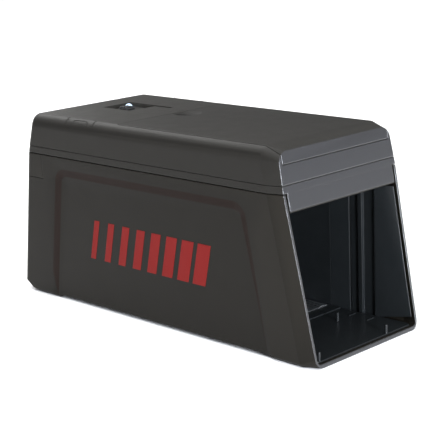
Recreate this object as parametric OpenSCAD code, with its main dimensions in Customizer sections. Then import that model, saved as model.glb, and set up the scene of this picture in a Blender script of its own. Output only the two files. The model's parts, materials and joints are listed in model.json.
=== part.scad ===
// Battery-powered tunnel trap: a raked tunnel base with a lid that swings up about its front end.
// X runs along the tunnel towards the mouth, Y across it, Z up. The origin is on the ground at the
// middle of the footprint. All sizes are in millimetres.

/* [Body] */
// Length of the body at the seam between base and lid
seam_len = 226; // [226:0.5:229]
// Width of the body at the seam
body_w = 105; // [104:0.5:108]
// Height of the top face
body_h = 123.5; // [123:0.1:123.5]
// Height of the top edge of the base
seam_z = 97.6; // [97.4:0.1:97.8]
// Lean of both ends, as run over rise
rake = 0.19; // [0.17:0.01:0.2]
// Lean of the side walls below the seam
base_draft = 0.034; // [0.02:0.002:0.036]
// Lean of the side walls above the seam
lid_draft = 0.05; // [0.03:0.01:0.06]
// Thickness of the outer walls
wall = 2.2; // [2:0.1:2.4]
// Width of the rounding along the long top edges and the rear top edge
shoulder_r = 7; // [6:0.5:8]
// Height of that rounding
shoulder_h = 9.5; // [9:0.5:9.5]
// Radius of the upright rear corners
corner_r = 5.5; // [5:0.5:6]

/* [Nose band] */
// Length of the faceted band round the front end
nose_len = 10; // [9:0.5:11]
// How far the sides draw in along that band
nose_inset = 2.8; // [2.4:0.1:3]
// How far the top drops along that band
nose_drop = 2.7; // [2.4:0.1:3]

/* [Seams and doors] */
// Gap between the base and the lid
seam_gap = 0.6; // [0.5:0.05:0.7]
// Height of the lid band, which belongs to the tray
band_h = 4.1; // [3.8:0.1:4.4]
// Gap between the tray and the cover
cover_gap = 0.35; // [0.3:0.05:0.5]
// Width of the battery door
door_w = 92.6; // [91:0.2:93]
// Where the rear edge of the battery door is
door_rear_x = -25; // [-27:0.5:-24]
// Height of the lower edge of the battery door's front
door_low_z = 113.7; // [113:0.1:114]
// Gap all round the battery door
door_gap = 0.35; // [0.3:0.05:0.4]
// Height of the lower edge of the front fascia
fascia_low_z = 87; // [86.8:0.1:87.4]

/* [Tunnel] */
// Inner width of the entry
entry_w = 85; // [84:0.5:85.5]
// Inner width of the chamber behind it
chamber_w = 81; // [80:0.5:81.5]
// Where the entry ends and the chamber begins
chamber_x = 69; // [68.5:0.5:70]
// Height of the chamber floor
chamber_floor_z = 4; // [3.9:0.1:4.2]
// Height of the entry floor
entry_floor_z = 3.2; // [3.1:0.1:3.4]

/* [Cells] */
// Diameter of one cell
cell_d = 26.2; // [25.6:0.1:26.2]
// Length of one cell over its button
cell_len = 50; // [49:0.5:50]
// Distance from cell to cell
cell_pitch = 27; // [26.8:0.1:27]

/* [Hidden] */
$fn = 48;
hull_fn = 40;

EPS = 0.05;
BIG = 400;
lean = atan(rake);
side_lean = atan(base_draft);
band_z = seam_z + seam_gap;
cover_z = band_z + band_h + cover_gap;
plate_low_z = 1.2;
plate_top_z = 2.4;
arch_z = 2.2;
heel_z = 6.5;
foot_back = 11;
rim_r = 6;
tray_low_z = 96.2;
tray_top_z = 98.2;
tower_floor_z = tray_top_z + 0.2;
tower_roof_z = 104.2;
tower_r = 3.3;
flange_t = 0.7;
wall_top_z = 94.4;
front_wall_top_z = 85;
sweep_x = 104.5;
liner_wall = 1.6;
flare_x = 102.8;
hinge_x = 111.3;
hinge_z = 91.5;
hinge_pin_r = 1;
hinge_end_y = 49.5;
hinge_pin_len = 9.3;
running = 0.06;
cell_x = [for (i = [0 : 3]) 40 + (i - 1.5) * cell_pitch];
cell_z = 94.5 + cell_d / 2;
bay_low_z = 92.6;
bay_floor_z = 94.4;
bay_x = [-15.2, 95.2];
bay_w = 59.4;
bay_wall = 1.8;
bay_top_z = 118.6;
deck_gap = 0.4;
deck_t = 1.6;
door_t = 2.2;
door_rib_y = 35;
pad_y = 4;
pad_x = [-84, -42];
pad_w = 24;
dish_z = 121.1;
knob_x = -73.5;
knob_y = 3.5;
knob_travel = 4;
led_x = -81.6;
led_y = 12.2;
board_z = 102;
board_t = 1.6;
board_x = [-106, -22];
board_w = 74;
pin_x = [45, -8, -56];
pin_y = -(chamber_w / 2 + liner_wall / 2);
plunger_x = -60;
plunger_y = chamber_w / 2 + liner_wall / 2;
screw_r = 1.25;
screw_hole_r = 1.6;
cover_screws = [for (x = [-100, 97], s = [-1, 1]) [x, s * 43.5]];
liner_screw_spots = [for (x = [-84, 52], s = [-1, 1]) [x, s * 30]];
front_plate_x = [22, 67.5];
middle_plate_x = [-30, 15];
rear_plate_x = [-75, -37];
plate_w = 76;
plate_t = 0.6;
strip_t = 0.4;

// Half length and half width of the outside at height z
function half_len(z) = seam_len / 2 + rake * (seam_z - z);
function half_w(z) = body_w / 2 - (z < seam_z ? base_draft * (seam_z - z) : lid_draft * (z - seam_z));

// Point where two lines meet, each given by a point and a direction
function meet(p, d, q, e) =
    let (t = ((q[0] - p[0]) * e[1] - (q[1] - p[1]) * e[0]) / (d[0] * e[1] - d[1] * e[0]))
    p + t * d;

// Side view of the top, the sloping nose and the front face, moved inwards by t, down to height low_z
function nose_profile(t, low_z) =
    let (a = [half_len(body_h) - nose_len, body_h],
         b = [half_len(body_h - nose_drop), body_h - nose_drop],
         down = (b - a) / norm(b - a),
         a_in = a + t * [down[1], -down[0]],
         front = [sin(lean), -cos(lean)],
         b_in = b - t * [cos(lean), sin(lean)])
    [
        meet(a_in, down, [0, body_h - t], [1, 0]),
        meet(a_in, down, b_in, front),
        meet(b_in, front, [0, low_z], [1, 0])
    ];

// A shape drawn in the side view and given a width across the body
module across(width, y = 0)
    translate([0, y + width / 2, 0])
        rotate([90, 0, 0])
            linear_extrude(width)
                children();

module slab(x, y, z)
    translate([x[0], y[0], z[0]])
        cube([x[1] - x[0], y[1] - y[0], z[1] - z[0]]);

module rod_y(r, x, z, length, y = 0)
    translate([x, y + length / 2, z])
        rotate([90, 0, 0])
            cylinder(r = r, h = length);

module speck()
    cube(EPS, center = true);

// Ball of radius r, stretched upright to the half height h
module ball(r, h)
    rotate_extrude($fn = hull_fn)
        intersection() {
            scale([1, h / r])
                circle(r, $fn = hull_fn);
            translate([0, -h])
                square([r, 2 * h]);
        }

// Thin upright-axis disc at a rear corner
module rear_disc(side, z, inset = 0, back = 0, tuck = 0)
    translate([-half_len(z) + corner_r + back, side * (half_w(z) - corner_r - tuck), z])
        cylinder(r = corner_r - inset, h = EPS, $fn = hull_fn);

// Corner points of the crease and the front rim at height z
module nose_specks(side, z, inset = 0, reach = 0, tuck = 0) {
    translate([half_len(z) - nose_len, side * (half_w(z) - inset - tuck), z])
        speck();
    translate([half_len(z) + reach, side * (half_w(z) - nose_inset - inset), z])
        speck();
}

// Thin disc lying in the raked front plane
module rim_disc(side, z, r, inset, reach)
    translate([half_len(z) + reach, side * (half_w(z) - nose_inset - r), z])
        rotate([0, 90 - lean, 0])
            cylinder(r = r - inset, h = EPS, $fn = hull_fn);

// Solid outside of the base, from the ground to its top edge
module base_form() {
    edge = 2.2;
    hull()
        for (side = [-1, 1]) {
            rear_disc(side, seam_z - EPS);
            rear_disc(side, heel_z);
            rear_disc(side, edge, back = foot_back * (1 - edge / heel_z));
            rear_disc(side, 0, back = foot_back, tuck = edge);
            nose_specks(side, seam_z - EPS / 2);
            nose_specks(side, rim_r);
            translate([half_len(edge) - nose_len, side * half_w(edge), edge])
                speck();
            translate([half_len(0) - nose_len, side * (half_w(0) - edge), EPS / 2])
                speck();
            rim_disc(side, rim_r * cos(lean), rim_r, 0, 0);
        }
}

// Hollow of the base, open at the top and at the mouth
module base_hollow(inset, low_z) {
    reach = 3;
    hull()
        for (side = [-1, 1]) {
            rear_disc(side, seam_z + 1, inset);
            rear_disc(side, heel_z + 2.5, inset);
            rear_disc(side, low_z, inset, back = foot_back);
            nose_specks(side, seam_z + 1, inset, reach);
            nose_specks(side, rim_r, inset, reach);
            translate([half_len(low_z) - nose_len, side * (half_w(low_z) - inset), low_z])
                speck();
            rim_disc(side, rim_r * cos(lean) + low_z - plate_top_z + 0.2, rim_r, inset, reach);
        }
}

// Solid outside of the lid, from height low_z up. A positive inset gives its hollow.
module lid_form(low_z, inset = 0) {
    shoulder_z = body_h - shoulder_h;
    shoulder_y = half_w(shoulder_z) - shoulder_r;
    rim_z = body_h - nose_drop - shoulder_r * cos(lean);
    back = -inset / cos(lean);
    hull()
        for (side = [-1, 1]) {
            rear_disc(side, low_z, inset);
            nose_specks(side, low_z, inset, back);
            translate([-half_len(shoulder_z) + shoulder_r, side * shoulder_y, shoulder_z])
                ball(shoulder_r - inset, shoulder_h - inset);
            translate([half_len(body_h) - nose_len, side * shoulder_y, shoulder_z])
                scale([1, 1, (shoulder_h - inset) / (shoulder_r - inset)])
                    rotate([0, 90, 0])
                        cylinder(r = shoulder_r - inset, h = EPS, $fn = hull_fn);
            rim_disc(side, rim_z, shoulder_r, inset, back);
        }
}

// Disc lying in a side wall, depth below its surface
module side_disc(side, x, z, depth, r)
    translate([x, side * (half_w(z) - depth), z])
        rotate([-side * (90 + side_lean), 0, 0])
            cylinder(r = r, h = EPS, $fn = hull_fn);

// Cutter for the shallow bevelled panel in each side wall, open at the bottom
module side_panel(side) {
    panel_r = 10;
    top_z = 80.2;
    low_z = -15;
    depth = 1.2;
    bevel = 5;
    hull()
        for (layer = [[-0.3, panel_r + 0.3 * bevel / depth], [depth, panel_r - bevel]])
            for (z = [low_z, top_z])
                for (x = [32 + panel_r - half_len(z), half_len(z) - nose_len - 20 - panel_r])
                    side_disc(side, x, z, layer[0], layer[1]);
}

// Side view of the arch between the feet
module arch(height)
    polygon([
        [-97.2, -1], [-94, 0], [-94 + height * 3, height],
        [104.7 - height * 2.4, height], [104.7, 0], [107.5, -1]
    ]);

module hinge_bores()
    rod_y(hinge_pin_r + running, hinge_x, hinge_z, 2 * hinge_end_y + 0.5);

// Base
module base_shell()
    color([0.23, 0.22, 0.21])
        difference() {
            base_form();
            base_hollow(wall, plate_top_z);
            across(body_w + 10)
                arch(plate_low_z);
            for (side = [-1, 1]) {
                side_panel(side);
                across(10, side * 51)
                    arch(arch_z);
            }
            slab([-BIG, -half_len(seam_z) + 16.3], [-BIG, BIG], [81.6, BIG]);
            hinge_bores();
            for (p = liner_screw_spots)
                translate([p[0], p[1], 0])
                    cylinder(r = screw_hole_r, h = 10);
        }

// Cap round the rear top edge of the base, with slots that let the bait's smell out
module rear_vent_cap() {
    slot_pitch = 9;
    low_z = 81.8;
    color([0.23, 0.22, 0.21]) {
        difference() {
            base_form();
            base_hollow(wall, plate_top_z);
            slab([-BIG, BIG], [-BIG, BIG], [-BIG, low_z]);
            slab([-half_len(seam_z) + 16.1, BIG], [-BIG, BIG], [-BIG, BIG]);
            for (i = [-4 : 4])
                slab([-BIG, -90], [i * slot_pitch - 1.5, i * slot_pitch + 1.5], [85.5, 94.2]);
        }
        for (s = [0, 1])
            mirror([0, s, 0]) {
                slab([-110, -104], [46.6, 49.4], [76, 90]);
                slab([-110, -104], [49, 50.2], [83, 90]);
            }
    }
}

// Wall of the entry on one side: a bend out of the chamber, a raised rib, a pocket and a flat
module entry_wall(side)
    mirror([0, side < 0 ? 1 : 0, 0]) {
        y = entry_w / 2;
        rib_x = [90.3, 93.3];
        pocket_x = [93.3, 102];
        difference() {
            translate([0, 0, plate_top_z])
                linear_extrude(wall_top_z - plate_top_z)
                    polygon([
                        [chamber_x, chamber_w / 2], [83, y - 0.3], [83, y], [rib_x[0], y],
                        [rib_x[0], y - 1], [rib_x[1], y - 1], [rib_x[1], y], [pocket_x[0], y + 1],
                        [pocket_x[1], y + 1], [pocket_x[1], y], [flare_x, y],
                        [flare_x, y + liner_wall], [chamber_x, y + liner_wall + 0.4]
                    ]);
            slab([sweep_x, BIG], [0, BIG], [front_wall_top_z, BIG]);
            slab([83, 83.8], [0, y + 0.6], [entry_floor_z + 1, BIG]);
        }
        entry_flare(y);
    }

// Flared end of that wall, which dies into the inside of the rim
module entry_flare(y) {
    setback = 2.2;
    hull() {
        for (z = [plate_top_z, front_wall_top_z], t = [0, liner_wall])
            translate([flare_x - EPS, y + t, z])
                speck();
        for (z = [rim_r + 1, front_wall_top_z], t = [0.15, 0.45])
            translate([
                half_len(z) - setback,
                half_w(z) - wall - nose_inset * (1 - setback / nose_len) - t,
                z
            ])
                speck();
    }
}

module entry_liner()
    color([0.13, 0.15, 0.16])
        for (side = [-1, 1])
            entry_wall(side);

// Glossy floor plate of the entry with its upright pegs and short ribs
module entry_floor() {
    peg_r = 0.9;
    peg_h = 5.2;
    front_x = half_len(entry_floor_z) - 2.2;
    color([0.1, 0.11, 0.12]) {
        translate([0, 0, plate_top_z])
            linear_extrude(entry_floor_z - plate_top_z)
                polygon([
                    [77, 41.2], [94, 41.2], [94, 42.3], [flare_x, 42.3], [front_x - 2, 43], [front_x, 41.4],
                    [front_x, -41.4], [front_x - 2, -43], [flare_x, -42.3], [94, -42.3], [94, -41.2], [77, -41.2]
                ]);
        for (p = [[90.6, 20.6], [90.6, -39], [front_x - 1.2, 20.6], [front_x - 1.2, -40]])
            translate([p[0], p[1], plate_top_z])
                cylinder(r = peg_r, h = entry_floor_z - plate_top_z + peg_h, $fn = 24);
        for (x = [90.3, 104.6], y = [-38.2, 31.7])
            slab([x - 0.3, x + 0.3], [y, y + 6.5], [plate_top_z, entry_floor_z + 0.5]);
    }
}

// Trough of the killing chamber, closed at the rear by a slotted wall
module chamber_liner() {
    y = chamber_w / 2;
    out = y + liner_wall;
    color([0.13, 0.15, 0.16])
        difference() {
            slab([-106, 76.6], [-out, out], [plate_top_z, wall_top_z]);
            slab([-104.4, BIG], [-y, y], [chamber_floor_z, BIG]);
            for (side = [-1, 1])
                slab([chamber_x, BIG], side < 0 ? [-BIG, -y + 0.1] : [y - 0.1, BIG], [plate_top_z - 1, BIG]);
            for (i = [-3 : 3])
                slab([-110, -100], [i * 9 - 1.5, i * 9 + 1.5], [60, 88]);
            for (p = liner_screw_spots)
                translate([p[0], p[1], 0])
                    cylinder(r = screw_r, h = chamber_floor_z);
        }
}

// Upright baffles, one from each side wall
module near_diverter()
    color([0.15, 0.16, 0.17])
        slab([71, 73], [-chamber_w / 2, -4], [chamber_floor_z, 91.6]);

module far_diverter()
    color([0.15, 0.16, 0.17])
        slab([17.5, 19.5], [4, chamber_w / 2], [chamber_floor_z, 91.6]);

function plate_screw_spots(x) = [for (s = [-1, 1]) [(x[0] + x[1]) / 2, s * 30]];

// Steel plate on the chamber floor with its two screw holes
module shock_plate(x)
    color([0.62, 0.63, 0.65])
        difference() {
            slab(x, [-plate_w / 2, plate_w / 2], [chamber_floor_z, chamber_floor_z + plate_t]);
            for (p = plate_screw_spots(x))
                translate([p[0], p[1], 0])
                    cylinder(r = screw_hole_r, h = 10);
        }

module shock_plate_front()
    shock_plate(front_plate_x);

module shock_plate_middle()
    shock_plate(middle_plate_x);

module shock_plate_rear()
    shock_plate(rear_plate_x);

// Pan-head screw, driven down along -Z, with its seat at the origin
module screw(shank, head_r = 2.7, head_h = 1.5)
    difference() {
        union() {
            cylinder(r = head_r, h = head_h, $fn = 24);
            translate([0, 0, -shank])
                cylinder(r = screw_r, h = shank, $fn = 24);
        }
        translate([0, 0, head_h - 0.8])
            for (a = [0, 90])
                rotate([0, 0, a])
                    slab([-1.7, 1.7], [-0.4, 0.4], [0, 2]);
    }

module plate_screws()
    color([0.7, 0.7, 0.72])
        for (x = [front_plate_x, middle_plate_x, rear_plate_x])
            for (p = plate_screw_spots(x))
                translate([p[0], p[1], chamber_floor_z + plate_t])
                    screw(plate_t, 2.6, 1.2);

module liner_screws()
    color([0.35, 0.35, 0.36])
        for (p = liner_screw_spots)
            translate([p[0], p[1], plate_low_z])
                mirror([0, 0, 1])
                    screw(chamber_floor_z - plate_low_z - 0.2, 2.7, 0.9);

// Brass strips up the near wall, from the plates to the pads that meet the lid's pins
module contact_strips() {
    y = -chamber_w / 2;
    width = 4;
    foot_z = chamber_floor_z + plate_t;
    color([0.78, 0.62, 0.3])
        for (x = pin_x) {
            slab([x - width / 2, x + width / 2], [y, y + strip_t], [foot_z, wall_top_z + strip_t]);
            slab([x - width / 2, x + width / 2], [y - liner_wall, y + strip_t],
                 [wall_top_z, wall_top_z + strip_t]);
            slab([x - width / 2, x + width / 2], [y, -plate_w / 2 + 3], [foot_z, foot_z + strip_t]);
        }
}

module bait_cup() {
    cup_r = 11;
    cup_h = 14;
    color([0.16, 0.16, 0.17])
        translate([-90, 0, chamber_floor_z])
            rotate_extrude()
                polygon([
                    [0, 0], [cup_r - 1.5, 0], [cup_r - 0.4, cup_h - 1.4], [cup_r + 1.4, cup_h - 1.2],
                    [cup_r + 1.4, cup_h], [cup_r - 2, cup_h], [cup_r - 3, 1.8], [0, 1.8]
                ]);
}

// Lid

// Fascia that hangs between the rims, with a rounded lower lip and a boss for each hinge pin
module fascia() {
    width = 92.8;
    t = 2.4;
    lip_z = fascia_low_z + t / 2;
    boss_len = 6.4;
    // The setback keeps the rounded lip inside the raked front plane
    lip_x = half_len(lip_z) - t / 2 / cos(lean);
    across(width)
        polygon([
            [half_len(lip_z), lip_z], [half_len(tray_top_z), tray_top_z],
            [half_len(tray_top_z) - t / cos(lean), tray_top_z], [half_len(lip_z) - t / cos(lean), lip_z]
        ]);
    rod_y(t / 2, lip_x, lip_z, width);
    for (side = [-1, 1])
        rod_y(2.5, hinge_x, hinge_z, boss_len, side * (width - boss_len) / 2);
}

// Plan-view solid of the tray floor, clear of the base's walls
module tray_floor()
    intersection() {
        base_hollow(wall + 0.55, tray_low_z - 10);
        union() {
            slab([-BIG, 102], [-BIG, BIG], [tray_low_z, tray_top_z + 0.2]);
            slab([100, 110.6], [-46.2, 46.2], [tray_low_z, tray_top_z + 0.2]);
        }
    }

module tray_band()
    difference() {
        lid_form(band_z);
        lid_form(band_z - 1, wall);
        slab([-BIG, BIG], [-BIG, BIG], [band_z + band_h, BIG]);
    }

// Ring that ties the band to the tray floor
module tray_rim()
    difference() {
        lid_form(band_z);
        slab([-BIG, BIG], [-BIG, BIG], [band_z + 1.6, BIG]);
        translate([0, 0, 2])
            intersection() {
                base_hollow(wall + 2.5, tray_low_z - 10);
                slab([-BIG, 106], [-BIG, BIG], [0, BIG]);
            }
    }

// Bore of the housing round a spring pin
module tower_bore(x, y)
    translate([x, y, tower_floor_z - EPS])
        cylinder(r = 2.5, h = tower_roof_z - tower_floor_z + EPS);

module lid_tray() {
    standoff_r = 3;
    color([0.25, 0.25, 0.26])
        difference() {
            union() {
                tray_floor();
                tray_band();
                tray_rim();
                fascia();
                slab([bay_x[0] - bay_wall, bay_x[1] + bay_wall], [-bay_w / 2 - bay_wall, bay_w / 2 + bay_wall],
                     [bay_low_z, bay_top_z]);
                for (x = [board_x[0] + 6, board_x[1] - 6], y = [-30, 30])
                    translate([x, y, tray_low_z])
                        cylinder(r = standoff_r, h = board_z - tray_low_z);
                for (x = pin_x)
                    translate([x, pin_y, tray_low_z])
                        cylinder(r = tower_r, h = tower_roof_z + 1.2 - tray_low_z);
            }
            slab(bay_x, [-bay_w / 2, bay_w / 2], [bay_floor_z, BIG]);
            for (p = cover_screws)
                translate([p[0], p[1], tray_low_z - 1])
                    cylinder(r = screw_hole_r, h = 6);
            for (x = pin_x)
                tower_bore(x, pin_y);
            for (p = concat([for (x = pin_x) [x, pin_y]], [[plunger_x, plunger_y]]))
                translate([p[0], p[1], tray_low_z - 1])
                    cylinder(r = 1.5 + running, h = 6);
            rod_y(hinge_pin_r, hinge_x, hinge_z, 2 * 48);
        }
}

// Side view of a band that follows the top, nose and front, between two depths
module nose_band(outer, inner, rear_x, low_z) {
    a = nose_profile(outer, low_z);
    b = nose_profile(inner, low_z);
    polygon(concat(
        [[rear_x, a[0][1]]], a,
        [b[2], b[1], b[0], [rear_x, b[0][1]]]
    ));
}

// Sloping dish that holds the power switch and the light
module pad_dish() {
    depth = body_h - dish_z;
    y = [pad_y - 11.4, pad_y + 11.4];
    hull() {
        slab([-84, -57], y, [body_h, body_h + 1]);
        slab([-82.6, -67], [y[0] + 1.6, y[1] - 1], [body_h - depth, body_h]);
    }
}

module lid_cover() {
    recess_w = door_w + 2 * door_gap;
    deck_top = door_t + deck_gap;
    post_r = 3.1;
    color([0.27, 0.27, 0.25])
        difference() {
            union() {
                difference() {
                    lid_form(cover_z);
                    lid_form(cover_z - 1, wall);
                    across(recess_w)
                        nose_band(-5, deck_top, door_rear_x - door_gap, door_low_z - door_gap);
                }
                across(recess_w + 2)
                    nose_band(deck_top, deck_top + deck_t, door_rear_x - 3, door_low_z - 2.4);
                across(recess_w + 2)
                    nose_ledge(deck_top + deck_t);
                slab([pad_x[0] - 2, pad_x[1] + 2], [pad_y - pad_w / 2 - 2, pad_y + pad_w / 2 + 2],
                     [118.6, body_h - EPS]);
                for (p = cover_screws)
                    translate([p[0], p[1], tray_top_z + 0.2])
                        cylinder(r = post_r, h = (p[0] > 0 ? 120.2 : 121.9) - tray_top_z - 0.2);
            }
            // Battery bay
            slab([bay_x[0] - 0.2, bay_x[1] + 0.2], [-bay_w / 2 - 0.2, bay_w / 2 + 0.2], [bay_top_z, BIG]);
            // Slots for the door's ribs
            for (side = [-1, 1]) {
                across(2.2, side * door_rib_y)
                    polygon([[-11, 117], [BIG, 117], [BIG, BIG], [-11, BIG]]);
                across(4.4, side * door_rib_y)
                    polygon([[94, 117.4], [BIG, 117.4], [BIG, BIG], [94, BIG]]);
            }
            // Switch pad, its dish, the knob's slot and the light's hole
            slab(pad_x, [pad_y - pad_w / 2, pad_y + pad_w / 2], [body_h - 0.5, BIG]);
            pad_dish();
            finger_scoop();
            slab([knob_x - 2.4 - knob_travel, knob_x + 2.4], [knob_y - 1.4, knob_y + 1.4], [110, BIG]);
            translate([led_x, led_y, 110])
                cylinder(r = 2.6, h = 20);
            for (p = cover_screws)
                translate([p[0], p[1], tray_top_z])
                    cylinder(r = screw_r, h = 14);
        }
}

// Ledge that closes the cover below the battery door's front
module nose_ledge(depth) {
    a = nose_profile(wall - 0.1, door_low_z - 2.4);
    b = nose_profile(depth, door_low_z - 2.4);
    t = 2;
    polygon([
        a[2], a[2] - t * [sin(lean), -cos(lean)], b[2] - t * [sin(lean), -cos(lean)], b[2]
    ]);
}

module lid_screws()
    color([0.35, 0.35, 0.36])
        for (p = cover_screws)
            translate([p[0], p[1], tray_low_z])
                mirror([0, 0, 1])
                    screw(13, 2.6, 0.9);

module hinge_pins()
    color([0.6, 0.6, 0.62])
        for (side = [-1, 1])
            rod_y(hinge_pin_r, hinge_x, hinge_z, hinge_pin_len, side * (hinge_end_y - hinge_pin_len / 2));

module circuit_board() {
    top = board_z + board_t;
    color([0.1, 0.32, 0.18])
        slab(board_x, [-board_w / 2, board_w / 2], [board_z, top]);
    color([0.08, 0.08, 0.09]) {
        slab([-52, -42], [14, 24], [top, top + 1.4]);
        for (i = [0 : 4])
            slab([-98 + i * 5, -95.5 + i * 5], [24, 30], [top, top + 2]);
    }
}

// Step-up transformer: a core round a wound bobbin
module transformer() {
    base = board_z + board_t;
    color([0.3, 0.3, 0.31])
        difference() {
            slab([-60, -38], [-34, -14], [base, base + 15]);
            slab([-61, -37], [-30.5, -17.5], [base + 3, base + 12]);
        }
    color([0.7, 0.4, 0.2])
        translate([-58, -24, base + 7.5])
            rotate([0, 90, 0])
                cylinder(r = 4.5, h = 18);
}

module capacitor() {
    r = 6;
    color([0.15, 0.2, 0.4])
        translate([-97, -26, board_z + board_t + r])
            rotate([0, 90, 0])
                cylinder(r = r, h = 26);
}

module switch_body()
    color([0.1, 0.1, 0.11])
        difference() {
            slab([knob_x - 5 - knob_travel, knob_x + 5], [knob_y - 4, knob_y + 4],
                 [board_z + board_t, 118.4]);
            slab([knob_x - 2.4 - knob_travel, knob_x + 2.4], [knob_y - 1.4, knob_y + 1.4], [114, BIG]);
        }

// Ribbed thumb piece of the power switch
module switch_knob() {
    cap_z = dish_z + 0.4;
    color([0.12, 0.12, 0.13]) {
        slab([knob_x - 1.8, knob_x + 1.8], [knob_y - 1, knob_y + 1], [114.6, cap_z + 0.2]);
        slab([knob_x - 4, knob_x + 4], [knob_y - 3.6, knob_y + 3.6], [cap_z, cap_z + 0.9]);
        for (i = [-1 : 1])
            translate([knob_x + i * 2.5, 0, cap_z + 0.8])
                slab([-0.5, 0.5], [knob_y - 3.6, knob_y + 3.6], [0, 1.2]);
    }
}

module status_led()
    color([0.75, 0.85, 1])
        translate([led_x, led_y, board_z + board_t]) {
            cylinder(r = 2.9, h = 1.5);
            cylinder(r = 2.5, h = 6);
            translate([0, 0, 6])
                intersection() {
                    sphere(2.5);
                    cylinder(r = 3, h = 3);
                }
        }

// Light pipe from the light to the dish
module led_lens()
    color([0.85, 0.92, 1])
        translate([led_x, led_y, 0]) {
            translate([0, 0, 112.4])
                cylinder(r = 2.5, h = 9.2);
            translate([0, 0, 121.5])
                intersection() {
                    translate([0, 0, -1])
                        sphere(2.8);
                    cylinder(r = 2.5, h = 3);
                }
            translate([0, 0, 117.4])
                cylinder(r = 3.4, h = 1);
        }

// One cell, lying across the body, with its button towards +Y or -Y
module cell(i) {
    button = 1.6;
    flip = i % 2 == 0 ? 1 : -1;
    color([0.5, 0.5, 0.52])
        rod_y(cell_d / 2, cell_x[i], cell_z, cell_len - button, -flip * button / 2);
    color([0.75, 0.75, 0.77])
        rod_y(3.2, cell_x[i], cell_z, button, flip * (cell_len - button) / 2);
}

module cell_1()
    cell(0);

module cell_2()
    cell(1);

module cell_3()
    cell(2);

module cell_4()
    cell(3);

// Tapered coil at the flat end of each cell
module battery_springs() {
    wire_r = 0.4;
    turns = 4;
    space = bay_w / 2 - cell_len / 2 - 0.5;
    color([0.75, 0.75, 0.77])
        for (i = [0 : 3], k = [0 : turns - 1])
            translate([
                cell_x[i],
                (i % 2 == 0 ? -1 : 1) * (cell_len / 2 + wire_r + (space - 2 * wire_r) * k / (turns - 1)),
                cell_z
            ])
                rotate([90, 0, 0])
                    rotate_extrude($fn = hull_fn)
                        translate([3.4 + 0.9 * k, 0])
                            circle(wire_r, $fn = 16);
}

// Plates at both walls of the bay
module battery_contacts() {
    t = 0.5;
    color([0.8, 0.66, 0.36])
        for (i = [0 : 3], side = [-1, 1])
            translate([cell_x[i], side * (bay_w / 2 - t / 2), cell_z])
                slab([-8, 8], [-t / 2, t / 2], [-8, 8]);
}

// Spring pins in the lid that meet the contact strips
module contact_pins()
    color([0.85, 0.7, 0.35])
        for (x = pin_x)
            spring_pin(x, pin_y, wall_top_z + strip_t + 0.3);

// Round pin from height low_z, with the flange that keeps it in the lid
module spring_pin(x, y, low_z)
    translate([x, y, 0]) {
        translate([0, 0, low_z])
            cylinder(r = 1.5, h = 101 - low_z);
        translate([0, 0, tower_floor_z + 0.1])
            cylinder(r = 2.2, h = flange_t);
    }

// Rings of a coil spring between a pin's flange and the top of its tower
module coil(x, y) {
    wire_r = 0.18;
    turns = 5;
    low_z = tower_floor_z + 0.1 + flange_t + wire_r + 0.02;
    for (k = [0 : turns - 1])
        translate([x, y, low_z + (tower_roof_z - 0.02 - wire_r - low_z) * k / (turns - 1)])
            rotate_extrude($fn = hull_fn)
                translate([1.95, 0])
                    circle(wire_r, $fn = 16);
}

module contact_pin_springs()
    color([0.75, 0.75, 0.77])
        for (x = pin_x)
            coil(x, pin_y);

// Wire made of straight runs with a bead of solder at each point
module wire(points, r = 0.6)
    for (i = [0 : len(points) - 2]) {
        run = points[i + 1] - points[i];
        translate(points[i])
            rotate([0, acos(run[2] / norm(run)), atan2(run[1], run[0])])
                cylinder(r = r, h = norm(run), $fn = 16);
        translate(points[i + 1] - [0, 0, r * 1.4])
            cylinder(r = r * 1.4, h = r * 2.8, $fn = 16);
    }

// Leads from the cells and from the lid's pins to the board
module wiring() {
    board_top = board_z + board_t;
    color([0.7, 0.12, 0.1])
        wire([[-17.2, 18, 108], [-21, 18, 108], [-26, 18, board_top + 0.9]]);
    color([0.1, 0.1, 0.1])
        wire([[-17.2, -18, 108], [-21, -18, 108], [-26, -18, board_top + 0.9]]);
    color([0.85, 0.8, 0.75])
        for (i = [0 : 2])
            wire([
                [pin_x[i], pin_y, 105.9], [pin_x[i], pin_y + 4, 109 + 2 * i],
                [-24 - 4 * i, pin_y + 4, 109 + 2 * i], [-24 - 4 * i, -34, board_top + 0.9]
            ]);
}

module interlock_switch()
    color([0.1, 0.1, 0.11])
        difference() {
            slab([plunger_x - 6, plunger_x + 6], [38.3, 44.3], [tower_floor_z, 108]);
            tower_bore(plunger_x, plunger_y);
        }

module interlock_plunger()
    color([0.75, 0.75, 0.74])
        spring_pin(plunger_x, plunger_y, wall_top_z + 0.3);

module plunger_spring()
    color([0.75, 0.75, 0.77])
        coil(plunger_x, plunger_y);

// Round dish with grip ribs across it, shared by the door and the cover behind it
module finger_scoop() {
    scoop_r = 10;
    depth = 1.5;
    ball_r = (scoop_r * scoop_r + depth * depth) / (2 * depth);
    rib_pitch = 2.2;
    difference() {
        translate([-18, 6, body_h + ball_r - depth])
            sphere(ball_r);
        for (i = [0 : 4])
            slab([-22, -21] + [1, 1] * i * rib_pitch, [-5, 3], [120, body_h - 0.3]);
    }
}

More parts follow.
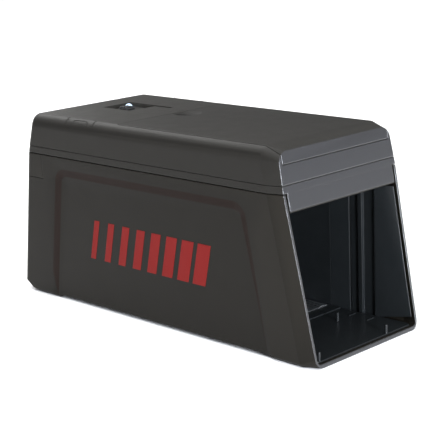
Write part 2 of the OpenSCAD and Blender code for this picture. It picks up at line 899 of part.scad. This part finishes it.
// Cross-section of the door's outer skin, which follows the rounded shoulders out to the door's edges.
// The plane it lies in leans back by tilt; half is the body's half width there, top its height and
// drop the height of the rounding.
module door_skin(x, half, top, tilt, drop) {
    steps = 7;
    centre_y = half - shoulder_r;
    cut = asin((door_w / 2 - centre_y) / shoulder_r);
    arc = [for (i = [0 : steps])
        let (a = cut * (1 - i / steps))
        [centre_y + shoulder_r * sin(a), drop * (cos(a) - 1)]];
    mirrored = [for (i = [steps : -1 : 0]) [-arc[i][0], arc[i][1]]];
    translate([x, 0, top])
        rotate([0, -tilt, 0])
            rotate([90, 0, 90])
                translate([0, 0, -EPS])
                    linear_extrude(EPS)
                        polygon(concat(arc, mirrored));
}

// Thin bar across the door's full width at a point of the side view
module door_bar(p)
    slab([p[0] - EPS, p[0]], [-door_w / 2, door_w / 2], [p[1], p[1] + EPS]);

// Top, sloping nose and front of the door, each plate a hull between two sections
module door_plates() {
    outer = nose_profile(0, door_low_z);
    inner = nose_profile(door_t, door_low_z);
    top_half = half_w(body_h - shoulder_h);
    nose_half = half_w(outer[1][1] - shoulder_r * cos(lean)) - nose_inset;
    hull() {
        door_skin(door_rear_x, top_half, body_h, 0, shoulder_h);
        door_bar([door_rear_x, inner[0][1]]);
        door_skin(outer[0][0], top_half, body_h, 0, shoulder_h);
        door_bar(inner[0]);
    }
    hull() {
        door_skin(outer[0][0], top_half, body_h, 0, shoulder_h);
        door_bar(inner[0]);
        door_skin(outer[1][0], nose_half, outer[1][1], lean, shoulder_r);
        door_bar(inner[1]);
    }
    hull() {
        door_skin(outer[1][0], nose_half, outer[1][1], lean, shoulder_r);
        door_bar(inner[1]);
        door_bar(outer[2]);
        door_bar(inner[2]);
    }
}

// Sliding door over the cells, with its finger scoop and the two ribs that hold it down
module battery_door() {
    rib_z = 118.2;
    color([0.3, 0.3, 0.29])
        difference() {
            union() {
                door_plates();
                for (side = [-1, 1]) {
                    slab([-9, 92], [side * door_rib_y - 0.7, side * door_rib_y + 0.7], [rib_z, 121.4]);
                    slab([-9, 92], [side * door_rib_y - 1.7, side * door_rib_y + 1.7], [rib_z, rib_z + 0.8]);
                }
            }
            finger_scoop();
        }
}

base_shell();
rear_vent_cap();
entry_liner();
entry_floor();
chamber_liner();
near_diverter();
far_diverter();
shock_plate_front();
shock_plate_middle();
shock_plate_rear();
plate_screws();
liner_screws();
contact_strips();
bait_cup();
lid_tray();
lid_cover();
lid_screws();
hinge_pins();
circuit_board();
transformer();
capacitor();
switch_body();
switch_knob();
status_led();
led_lens();
cell_1();
cell_2();
cell_3();
cell_4();
battery_springs();
battery_contacts();
contact_pins();
contact_pin_springs();
wiring();
interlock_switch();
interlock_plunger();
plunger_spring();
battery_door();
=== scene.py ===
"""Looks of the tunnel trap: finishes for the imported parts, small surface pieces, floor, light and camera."""

import json
import math

import bmesh
import bpy
from mathutils import Matrix, Vector


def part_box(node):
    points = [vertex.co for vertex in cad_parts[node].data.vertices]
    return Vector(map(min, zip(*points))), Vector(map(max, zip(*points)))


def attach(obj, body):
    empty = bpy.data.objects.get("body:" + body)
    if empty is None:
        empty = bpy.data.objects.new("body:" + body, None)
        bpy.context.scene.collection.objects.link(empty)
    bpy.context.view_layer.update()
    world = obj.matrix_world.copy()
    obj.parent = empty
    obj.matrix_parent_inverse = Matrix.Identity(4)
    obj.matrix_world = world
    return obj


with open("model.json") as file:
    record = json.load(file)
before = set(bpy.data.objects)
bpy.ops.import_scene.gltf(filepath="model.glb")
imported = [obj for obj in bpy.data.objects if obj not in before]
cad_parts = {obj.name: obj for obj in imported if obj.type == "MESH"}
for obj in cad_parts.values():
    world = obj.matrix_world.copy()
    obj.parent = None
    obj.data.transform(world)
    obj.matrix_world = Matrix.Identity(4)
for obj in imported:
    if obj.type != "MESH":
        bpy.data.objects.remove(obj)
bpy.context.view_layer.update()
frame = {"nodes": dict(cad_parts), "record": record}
nodes = frame["nodes"]
MM = 0.001

# ---------------------------------------------------------------- camera

CAMERA_PLACE = Vector((0.5825, -0.5644, 0.2590))
CAMERA_AZIMUTH = math.radians(45.07)
CAMERA_ELEVATION = math.radians(14.18)
CAMERA_ROLL = math.radians(-2.29)
CAMERA_LENS_MM = 105.75
CAMERA_SENSOR_MM = 36


def make_camera():
    """Camera at the viewing angle, with the slight roll of the picture."""
    a, e = CAMERA_AZIMUTH, CAMERA_ELEVATION
    back = Vector((math.sin(a) * math.cos(e), -math.cos(a) * math.cos(e), math.sin(e)))
    right = Vector((math.cos(a), math.sin(a), 0))
    upward = back.cross(right)
    roll = Matrix.Rotation(CAMERA_ROLL, 3, "Z")
    turned = Matrix((right, upward, back)).transposed() @ roll
    data = bpy.data.cameras.new("camera")
    data.lens = CAMERA_LENS_MM
    data.sensor_width = CAMERA_SENSOR_MM
    camera = bpy.data.objects.new("camera", data)
    camera.matrix_world = Matrix.Translation(CAMERA_PLACE) @ turned.to_4x4()
    bpy.context.scene.collection.objects.link(camera)
    bpy.context.scene.camera = camera


# ---------------------------------------------------------------- node helpers


ROUNDED_EDGE_SAMPLES = 8


class Shader:
    """A material's node tree, with short calls for the nodes that the finishes share."""

    def __init__(self, name, **fixed):
        self.material = bpy.data.materials.new(name)
        self.material.use_nodes = True
        self.tree = self.material.node_tree
        self.bsdf = self.tree.nodes["Principled BSDF"]
        self.where = self.tree.nodes.new("ShaderNodeTexCoord").outputs["Object"]
        for socket, value in fixed.items():
            self.bsdf.inputs[socket.replace("_", " ")].default_value = value

    def link(self, source, target):
        """Joins an output socket to an input socket."""
        self.tree.links.new(source, target)

    def rounded(self, radius):
        """Catches light along edges as if they were rounded by that radius."""
        node = self.tree.nodes.new("ShaderNodeBevel")
        node.samples = ROUNDED_EDGE_SAMPLES
        node.inputs["Radius"].default_value = radius
        self.link(node.outputs["Normal"], self.bsdf.inputs["Normal"])
        self.link(node.outputs["Normal"], self.bsdf.inputs["Coat Normal"])

    def noise(self, scale, detail=2.0, roughness=0.5, where=None):
        """Grey noise with that many features per metre."""
        node = self.tree.nodes.new("ShaderNodeTexNoise")
        node.inputs["Scale"].default_value = scale
        node.inputs["Detail"].default_value = detail
        node.inputs["Roughness"].default_value = roughness
        self.link(where or self.where, node.inputs["Vector"])
        return node.outputs["Fac"]

    def stretched(self, x, y, z):
        """Object coordinates with each axis multiplied."""
        node = self.tree.nodes.new("ShaderNodeMapping")
        node.inputs["Scale"].default_value = (x, y, z)
        self.link(self.where, node.inputs["Vector"])
        return node.outputs["Vector"]

    def ramp(self, source, low, high, at=(0.3, 0.7)):
        """Colour ramp between two colours, or two grey levels."""
        node = self.tree.nodes.new("ShaderNodeValToRGB")
        for stop, colour, place in zip(node.color_ramp.elements, (low, high), at):
            stop.color = (*colour, 1) if isinstance(colour, tuple) else (colour,) * 3 + (1,)
            stop.position = place
        self.link(source, node.inputs["Fac"])
        return node.outputs["Color"]

    def pointiness(self, low, high, at=(0.5, 0.56)):
        """Ramp that reaches its high end on convex edges."""
        geometry = self.tree.nodes.new("ShaderNodeNewGeometry")
        return self.ramp(geometry.outputs["Pointiness"], low, high, at)

    def mix(self, factor, a, b):
        """Mix of two colours; each argument is a socket or a fixed value."""
        node = self.tree.nodes.new("ShaderNodeMix")
        node.data_type = "RGBA"
        for value, socket in ((factor, node.inputs[0]), (a, node.inputs[6]), (b, node.inputs[7])):
            if isinstance(value, bpy.types.NodeSocket):
                self.link(value, socket)
            elif isinstance(value, tuple):
                socket.default_value = (*value, 1)
            else:
                socket.default_value = value
        return node.outputs[2]

    def colour(self, source):
        """Takes the base colour from source."""
        self.link(source, self.bsdf.inputs["Base Color"])

    def rough(self, source, low, high):
        """Roughness that varies between two values with source."""
        self.link(self.ramp(source, low, high), self.bsdf.inputs["Roughness"])

    def bump(self, source, height):
        """Adds relief of that height, in metres, on top of any before it."""
        node = self.tree.nodes.new("ShaderNodeBump")
        node.inputs["Strength"].default_value = 1.0
        node.inputs["Distance"].default_value = height
        self.link(source, node.inputs["Height"])
        socket = self.bsdf.inputs["Normal"]
        if socket.links:
            self.link(socket.links[0].from_socket, node.inputs["Normal"])
        self.link(node.outputs["Normal"], socket)


# ---------------------------------------------------------------- finishes


def moulded(name, colour, roughness, grain=0.00006, wear=1.5, level=0.5, coat=0.0, edge_r=0.0003):
    """Grained moulded plastic: a fine spark texture, faint mottling and slightly paler worn edges."""
    s = Shader(name, Specular_IOR_Level=level, Coat_Weight=coat, Coat_Roughness=0.25)
    s.rounded(edge_r)
    mottle = s.noise(35, 4)
    dark = tuple(c * 0.96 for c in colour)
    pale = tuple(min(c * 1.04, 1) for c in colour)
    edge = tuple(min(c * wear, 1) for c in colour)
    base = s.ramp(mottle, dark, pale)
    s.colour(s.mix(s.pointiness(0.0, 1.0), base, edge))
    s.rough(s.noise(90, 3), roughness - 0.02, roughness + 0.02)
    s.bump(s.noise(2600, 3, 0.6), grain)
    return s.material


def glossy(name, colour, roughness, waviness=0.00003, level=0.6, edge_r=0.0003):
    """Polished moulded plastic with faint sink marks and dust."""
    s = Shader(name, Specular_IOR_Level=level, Coat_Weight=0.15, Coat_Roughness=0.15)
    s.rounded(edge_r)
    dusty = tuple(min(c * 1.12 + 0.0006, 1) for c in colour)
    s.colour(s.ramp(s.noise(160, 5), colour, dusty, (0.45, 0.8)))
    s.rough(s.noise(60, 4), roughness - 0.04, roughness + 0.06)
    s.bump(s.noise(90, 2), waviness)
    return s.material


def brushed(name, colour, roughness=0.3, along=(30, 900, 900)):
    """Metal with fine straight scratches and slight stains."""
    s = Shader(name, Metallic=1.0)
    scratch = s.noise(1, 4, 0.6, s.stretched(*along))
    tint = tuple(c * 0.8 for c in colour)
    s.colour(s.mix(s.noise(40, 3), s.ramp(scratch, tint, colour), colour))
    s.rough(scratch, roughness - 0.08, roughness + 0.1)
    s.bump(scratch, 0.00002)
    return s.material


def plated(name, colour, roughness=0.2):
    """Plated metal with slight stains."""
    s = Shader(name, Metallic=1.0)
    s.colour(s.ramp(s.noise(500, 3), tuple(c * 0.85 for c in colour), colour))
    s.rough(s.noise(250, 3), roughness - 0.06, roughness + 0.08)
    s.bump(s.noise(900, 2), 0.00001)
    return s.material


def board_green(name):
    """Lacquered circuit board with copper runs showing as relief."""
    s = Shader(name, Specular_IOR_Level=0.6)
    runs = s.tree.nodes.new("ShaderNodeTexBrick")
    runs.inputs["Scale"].default_value = 160
    runs.inputs["Mortar Size"].default_value = 0.06
    s.link(s.where, runs.inputs["Vector"])
    track = s.ramp(runs.outputs["Fac"], (0.015, 0.09, 0.04), (0.03, 0.17, 0.07), (0.2, 0.8))
    s.colour(s.mix(s.ramp(s.noise(60, 3), 0.0, 0.5), track, (0.02, 0.12, 0.05)))
    s.rough(s.noise(120, 3), 0.22, 0.4)
    s.bump(runs.outputs["Fac"], 0.00003)
    return s.material


def lit(name, colour, power):
    """Glowing lens with a faint mottle."""
    s = Shader(name, Roughness=0.2, Emission_Strength=power)
    glow = s.ramp(s.noise(900, 2), tuple(c * 0.9 for c in colour), colour)
    s.colour(glow)
    s.link(glow, s.bsdf.inputs["Emission Color"])
    s.bump(s.noise(1200, 1), 0.00001)
    return s.material


def cell_sleeve(name):
    """Plain dark sleeve of a cell, slightly scuffed."""
    s = Shader(name, Specular_IOR_Level=0.6)
    s.colour(s.mix(s.ramp(s.noise(300, 4), 0.0, 0.25), (0.03, 0.03, 0.032), (0.1, 0.1, 0.1)))
    s.rough(s.noise(150, 3), 0.22, 0.38)
    s.bump(s.noise(700, 2), 0.00001)
    return s.material


SIDE_GREY = (0.0082, 0.0072, 0.0055)
# Painted shade: darker, browner tone for the sloping border of the shallow side panels.
SLOPE_SHADE_BROWN = (0.0105, 0.0060, 0.0045)
LID_GREY = (0.0105, 0.0098, 0.0085)
# Painted light: paler, bluer grey for the faces turned to the front, as if lit by the front lamp.
FRONT_LIT_GREY = (0.0125, 0.0125, 0.0135)
LINER_BLACK = (0.0085, 0.0098, 0.0105)
MARK_RED = (0.145, 0.007, 0.006)

PRINT_RED = moulded("print_red", MARK_RED, 0.5, 0.00002, 1.1, 0.1)
# Front faces: full glossy coat, and a paler, bluer colour that is painted light from the front.
FRONT_SATIN_LIT = moulded("front_satin_painted_light", FRONT_LIT_GREY, 0.42, 0.00002, level=0.2, coat=1.0, edge_r=0.001)
# Painted shade on the side panel slopes, with less gloss than the rest of the shell.
SLOPE_SHADE_FINISH = moulded("shell_slope_painted_shade", SLOPE_SHADE_BROWN, 0.55, level=0.05, coat=0.08)

FINISHES = {
    "shell": moulded("shell_grain", SIDE_GREY, 0.5, level=0.06, coat=0.13, edge_r=0.0008),
    "lid": moulded("lid_grain", LID_GREY, 0.5, level=0.12, coat=0.06, edge_r=0.00015),
    "tray": moulded("tray_satin", LID_GREY, 0.5, 0.00004, level=0.12, coat=0.06, edge_r=0.0006),
    "liner": glossy("liner_gloss", LINER_BLACK, 0.32, 0.00001, 0.25, 0.0006),
    "plate": brushed("plate_steel", (0.55, 0.56, 0.57)),
    "screw": plated("screw_plating", (0.5, 0.5, 0.5)),
    "contact": plated("contact_brass", (0.75, 0.55, 0.25), 0.28),
    "spring": plated("spring_wire", (0.65, 0.65, 0.66)),
    "board": board_green("board_lacquer"),
    "part": moulded("part_black", (0.016, 0.016, 0.017), 0.4, 0.00003),
    "core": brushed("core_varnish", (0.22, 0.21, 0.2), 0.45, (900, 40, 900)),
    "sleeve": glossy("sleeve_blue", (0.02, 0.03, 0.12), 0.3),
    "lens": lit("lens_glow", (0.6, 0.78, 1.0), 0.45),
    "lamp": lit("lamp_glow", (0.7, 0.85, 1.0), 2.0),
    "cell": cell_sleeve("cell_sleeve"),
    "wire": glossy("wire_sleeve", (0.3, 0.03, 0.025), 0.35),
    "nylon": glossy("pin_nylon", (0.55, 0.55, 0.52), 0.35),
}


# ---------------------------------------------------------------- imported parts

EDGE_RADII = {
    "base_shell": 0.5 * MM,
    "rear_vent_cap": 0.3 * MM,
    "lid_cover": 0.35 * MM,
    "lid_tray": 0.4 * MM,
    "battery_door": 0.35 * MM,
    "entry_liner": 0.4 * MM,
    "entry_floor": 0.25 * MM,
    "chamber_liner": 0.4 * MM,
    "switch_knob": 0.25 * MM,
}
PLAIN_EDGE_RADIUS = 0.15 * MM
RAKED_FRONT_NODES = ("base_shell", "lid_tray", "lid_cover", "battery_door")

# Limits of the shallow panel in each side of the base, and the tilt of its sloping border.
PANEL_REAR, PANEL_FRONT, PANEL_TOP = -92 * MM, 94 * MM, 93 * MM
PANEL_FROM_MIDDLE = 40 * MM
SLOPE_LEAST, SLOPE_MOST = math.radians(7), math.radians(20)

# The front faces rise to the rear by this much per unit of height.
FRONT_RAKE = 0.19
FRONT_TOLERANCE = math.radians(5)


def world_normal(obj, face):
    """Unit normal of a face in the shared frame."""
    return (obj.matrix_world.to_3x3() @ face.normal).normalized()


def soften(obj, radius):
    """Rounded edges and smooth shading across the facets of curved faces."""
    for face in obj.data.polygons:
        face.use_smooth = True
    weld = obj.modifiers.new("weld", "WELD")
    weld.merge_threshold = 0.01 * MM
    bevel = obj.modifiers.new("edges", "BEVEL")
    bevel.width = radius
    bevel.segments = 2
    bevel.limit_method = "ANGLE"
    bevel.angle_limit = math.radians(32)
    bevel.use_clamp_overlap = True
    weights = obj.modifiers.new("weights", "WEIGHTED_NORMAL")
    weights.mode = "FACE_AREA"
    weights.weight = 80


def paint_shade_on_panel_slopes(obj):
    """Darker, browner colour with less gloss on the sloping border of the shallow panel in each side: painted
    shade in the recess.
    """
    obj.data.materials.append(SLOPE_SHADE_FINISH)
    for face in obj.data.polygons:
        place = obj.matrix_world @ face.center
        across = abs(world_normal(obj, face).y)
        along_panel = PANEL_REAR < place.x < PANEL_FRONT and 0 < place.z < PANEL_TOP
        on_side = abs(place.y) > PANEL_FROM_MIDDLE
        if along_panel and on_side and math.cos(SLOPE_MOST) < across < math.cos(SLOPE_LEAST):
            face.material_index = len(obj.data.materials) - 1


def polish_and_light_front(obj):
    """Smooth satin finish with a full coat on the faces that lie in the raked front plane, in a paler, bluer
    colour that is painted light from the front.
    """
    obj.data.materials.append(FRONT_SATIN_LIT)
    lean = math.atan(FRONT_RAKE)
    front = Vector((math.cos(lean), 0, math.sin(lean)))
    for face in obj.data.polygons:
        if world_normal(obj, face).dot(front) > math.cos(FRONT_TOLERANCE):
            face.material_index = len(obj.data.materials) - 1


def dress_cad_nodes():
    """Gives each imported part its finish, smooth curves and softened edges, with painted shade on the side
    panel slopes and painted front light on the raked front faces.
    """
    slots = {row["node"]: row["material_slot"] for row in frame["record"]["subparts"]}
    for name, obj in nodes.items():
        obj.data.materials.clear()
        obj.data.materials.append(FINISHES[slots[name]])
        soften(obj, EDGE_RADII.get(name, PLAIN_EDGE_RADIUS))
    paint_shade_on_panel_slopes(nodes["base_shell"])
    for name in RAKED_FRONT_NODES:
        polish_and_light_front(nodes[name])


# ---------------------------------------------------------------- printed mark and press marks


def new_piece(name, mesh, body, material):
    """Object that rides on a body, with one material."""
    obj = bpy.data.objects.new(name, mesh)
    bpy.context.scene.collection.objects.link(obj)
    mesh.materials.append(material)
    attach(obj, body)
    return obj


DRAFT = 0.034
PANEL_DEPTH = 1.2 * MM
MARK_LOW, MARK_HIGH = 34 * MM, 60 * MM
MARK_REAR, MARK_FRONT = -56 * MM, 58 * MM
MARK_BARS = 8
MARK_SLANT = 7 * MM
PRINT_THICK = 0.12 * MM
PRINT_SUNK = 0.1 * MM
BAR_SHARE_LEAST, BAR_SHARE_GROWTH = 0.35, 0.45


def side_face(x, z, side, proud):
    """Point on the flat of the side panel, raised by proud."""
    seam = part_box("base_shell")[1]
    half = seam.y - DRAFT * (seam.z - z) - PANEL_DEPTH + proud
    return Vector((x, side * half, z))


def add_bar(bm, x, width, side):
    """One slanted bar of the printed mark, as a thin closed slab let into the panel."""
    corners = (
        (x, MARK_LOW),
        (x + width, MARK_LOW),
        (x + width + MARK_SLANT, MARK_HIGH),
        (x + MARK_SLANT, MARK_HIGH),
    )
    low = [bm.verts.new(side_face(u, z, side, -PRINT_SUNK)) for u, z in corners]
    high = [bm.verts.new(side_face(u, z, side, PRINT_THICK)) for u, z in corners]
    faces = [high, low[::-1]]
    for i in range(4):
        j = (i + 1) % 4
        faces.append([low[i], low[j], high[j], high[i]])
    for face in faces:
        bm.faces.new(face if side < 0 else face[::-1])


def make_side_marks():
    """Plain row of slanted bars printed on each side panel, narrowing towards the rear."""
    pitch = (MARK_FRONT - MARK_REAR - MARK_SLANT) / MARK_BARS
    for side, name in ((-1, "near"), (1, "far")):
        bm = bmesh.new()
        for i in range(MARK_BARS):
            share = BAR_SHARE_LEAST + BAR_SHARE_GROWTH * i / (MARK_BARS - 1)
            add_bar(bm, MARK_REAR + i * pitch, pitch * share, side)
        mesh = bpy.data.meshes.new(f"side_mark_{name}")
        bm.to_mesh(mesh)
        bm.free()
        new_piece(f"side_mark_{name}", mesh, "base", PRINT_RED)


SHOULDER_R = 7 * MM
SHOULDER_H = 9.5 * MM
SHOULDER_IN = 0.7 * MM
STROKE_R = 0.32 * MM
STROKE_STEPS = 6

# Each stroke runs through points given as x in millimetres and the angle round the shoulder in degrees.
PRESS_MARKS = {
    "rear_tick": ((-72.3, 39), (-72.3, 60), (-70.4, 61), (-72.3, 62), (-72.3, 81)),
    "arch": ((-65.5, 37), (-65.3, 58), (-64.6, 63), (-61, 65), (-55, 65), (-52.4, 62), (-52.1, 38)),
    "front_tick": ((-46.2, 39), (-46.2, 80)),
}


def shoulder_point(x, angle, side):
    """Point on the rounded shoulder; angle runs from 0 at the side wall to 90 at the top."""
    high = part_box("lid_cover")[1]
    centre_y = high.y - SHOULDER_R - SHOULDER_IN
    a = math.radians(angle)
    rise = SHOULDER_H * (1 - math.sin(a))
    return Vector((x * MM, side * (centre_y + SHOULDER_R * math.cos(a)), high.z - rise))


def make_press_marks():
    """Raised strokes that show where to press the lid's rear latches."""
    for side, hand in ((-1, "near"), (1, "far")):
        for name, stroke in PRESS_MARKS.items():
            curve = bpy.data.curves.new(f"press_{name}_{hand}", "CURVE")
            curve.dimensions = "3D"
            curve.bevel_depth = STROKE_R
            curve.bevel_resolution = 3
            curve.use_fill_caps = True
            steps = []
            for (x0, a0), (x1, a1) in zip(stroke, stroke[1:]):
                for t in range(STROKE_STEPS):
                    share = t / STROKE_STEPS
                    steps.append((x0 + (x1 - x0) * share, a0 + (a1 - a0) * share))
            steps.append(stroke[-1])
            spline = curve.splines.new("POLY")
            spline.points.add(len(steps) - 1)
            for point, (x, angle) in zip(spline.points, steps):
                point.co = (*shoulder_point(x, angle, side), 1)
            obj = bpy.data.objects.new(curve.name, curve)
            bpy.context.scene.collection.objects.link(obj)
            curve.materials.append(FINISHES["lid"])
            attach(obj, "lid")


# ---------------------------------------------------------------- floor and light


FLOOR_RADIUS = 9.0

# Each light's name, place, target, size, power and tint.
WHITE = (1, 1, 1)
LIGHTS = (
    ("ceiling", (0, 0, 8), (0, 0, 0), (20, 20), 1450, WHITE),
    ("overhead", (0, -0.5, 1.6), (0, 0, 0.05), (1.4, 1.4), 8, WHITE),
    ("shoulder", (-1.1, 0.05, 1.0), (0, 0, 0.1), (0.9, 0.9), 9, WHITE),
    ("shoulder_top", (-1.1, 0.45, 0.95), (0, 0, 0.1), (0.9, 0.9), 1.5, WHITE),
    ("rear_sheen", (-1.3, 0.75, 0.42), (-0.1, 0, 0.12), (0.3, 0.3), 0.5, WHITE),
    ("front_strip", (1.5, -0.45, 0.27), (0.1, 0, 0.06), (0.25, 0.5), 57, (0.86, 0.91, 1)),
)


def make_floor():
    """Plain pale floor, wide enough to fill every view."""
    bm = bmesh.new()
    bmesh.ops.create_circle(bm, cap_ends=True, segments=96, radius=FLOOR_RADIUS)
    mesh = bpy.data.meshes.new("floor")
    bm.to_mesh(mesh)
    bm.free()
    floor = bpy.data.objects.new("floor", mesh)
    bpy.context.scene.collection.objects.link(floor)
    s = Shader("floor_white", Roughness=0.65, Specular_IOR_Level=0.15)
    s.colour(s.ramp(s.noise(3, 2), (0.93, 0.93, 0.93), (0.95, 0.95, 0.95)))
    s.bump(s.noise(40, 2), 0.00002)
    mesh.materials.append(s.material)


def area_light(name, place, target, size, power, tint):
    """Oval area light at place, facing target; size is its width and length."""
    data = bpy.data.lights.new(name, "AREA")
    data.shape = "ELLIPSE"
    data.size, data.size_y = size
    data.energy = power
    data.color = tint
    light = bpy.data.objects.new(name, data)
    light.location = place
    light.rotation_euler = (Vector(target) - Vector(place)).to_track_quat("-Z", "Y").to_euler()
    bpy.context.scene.collection.objects.link(light)


def make_lights():
    """Area lights from the table above and an even white surround."""
    world = bpy.data.worlds.new("surround")
    world.use_nodes = True
    world.node_tree.nodes["Background"].inputs["Color"].default_value = (1, 1, 1, 1)
    world.node_tree.nodes["Background"].inputs["Strength"].default_value = 0.25
    bpy.context.scene.world = world
    for light in LIGHTS:
        area_light(*light)


make_camera()
dress_cad_nodes()
make_side_marks()
make_press_marks()
make_floor()
make_lights()
bpy.context.scene.view_settings.view_transform = "Standard"
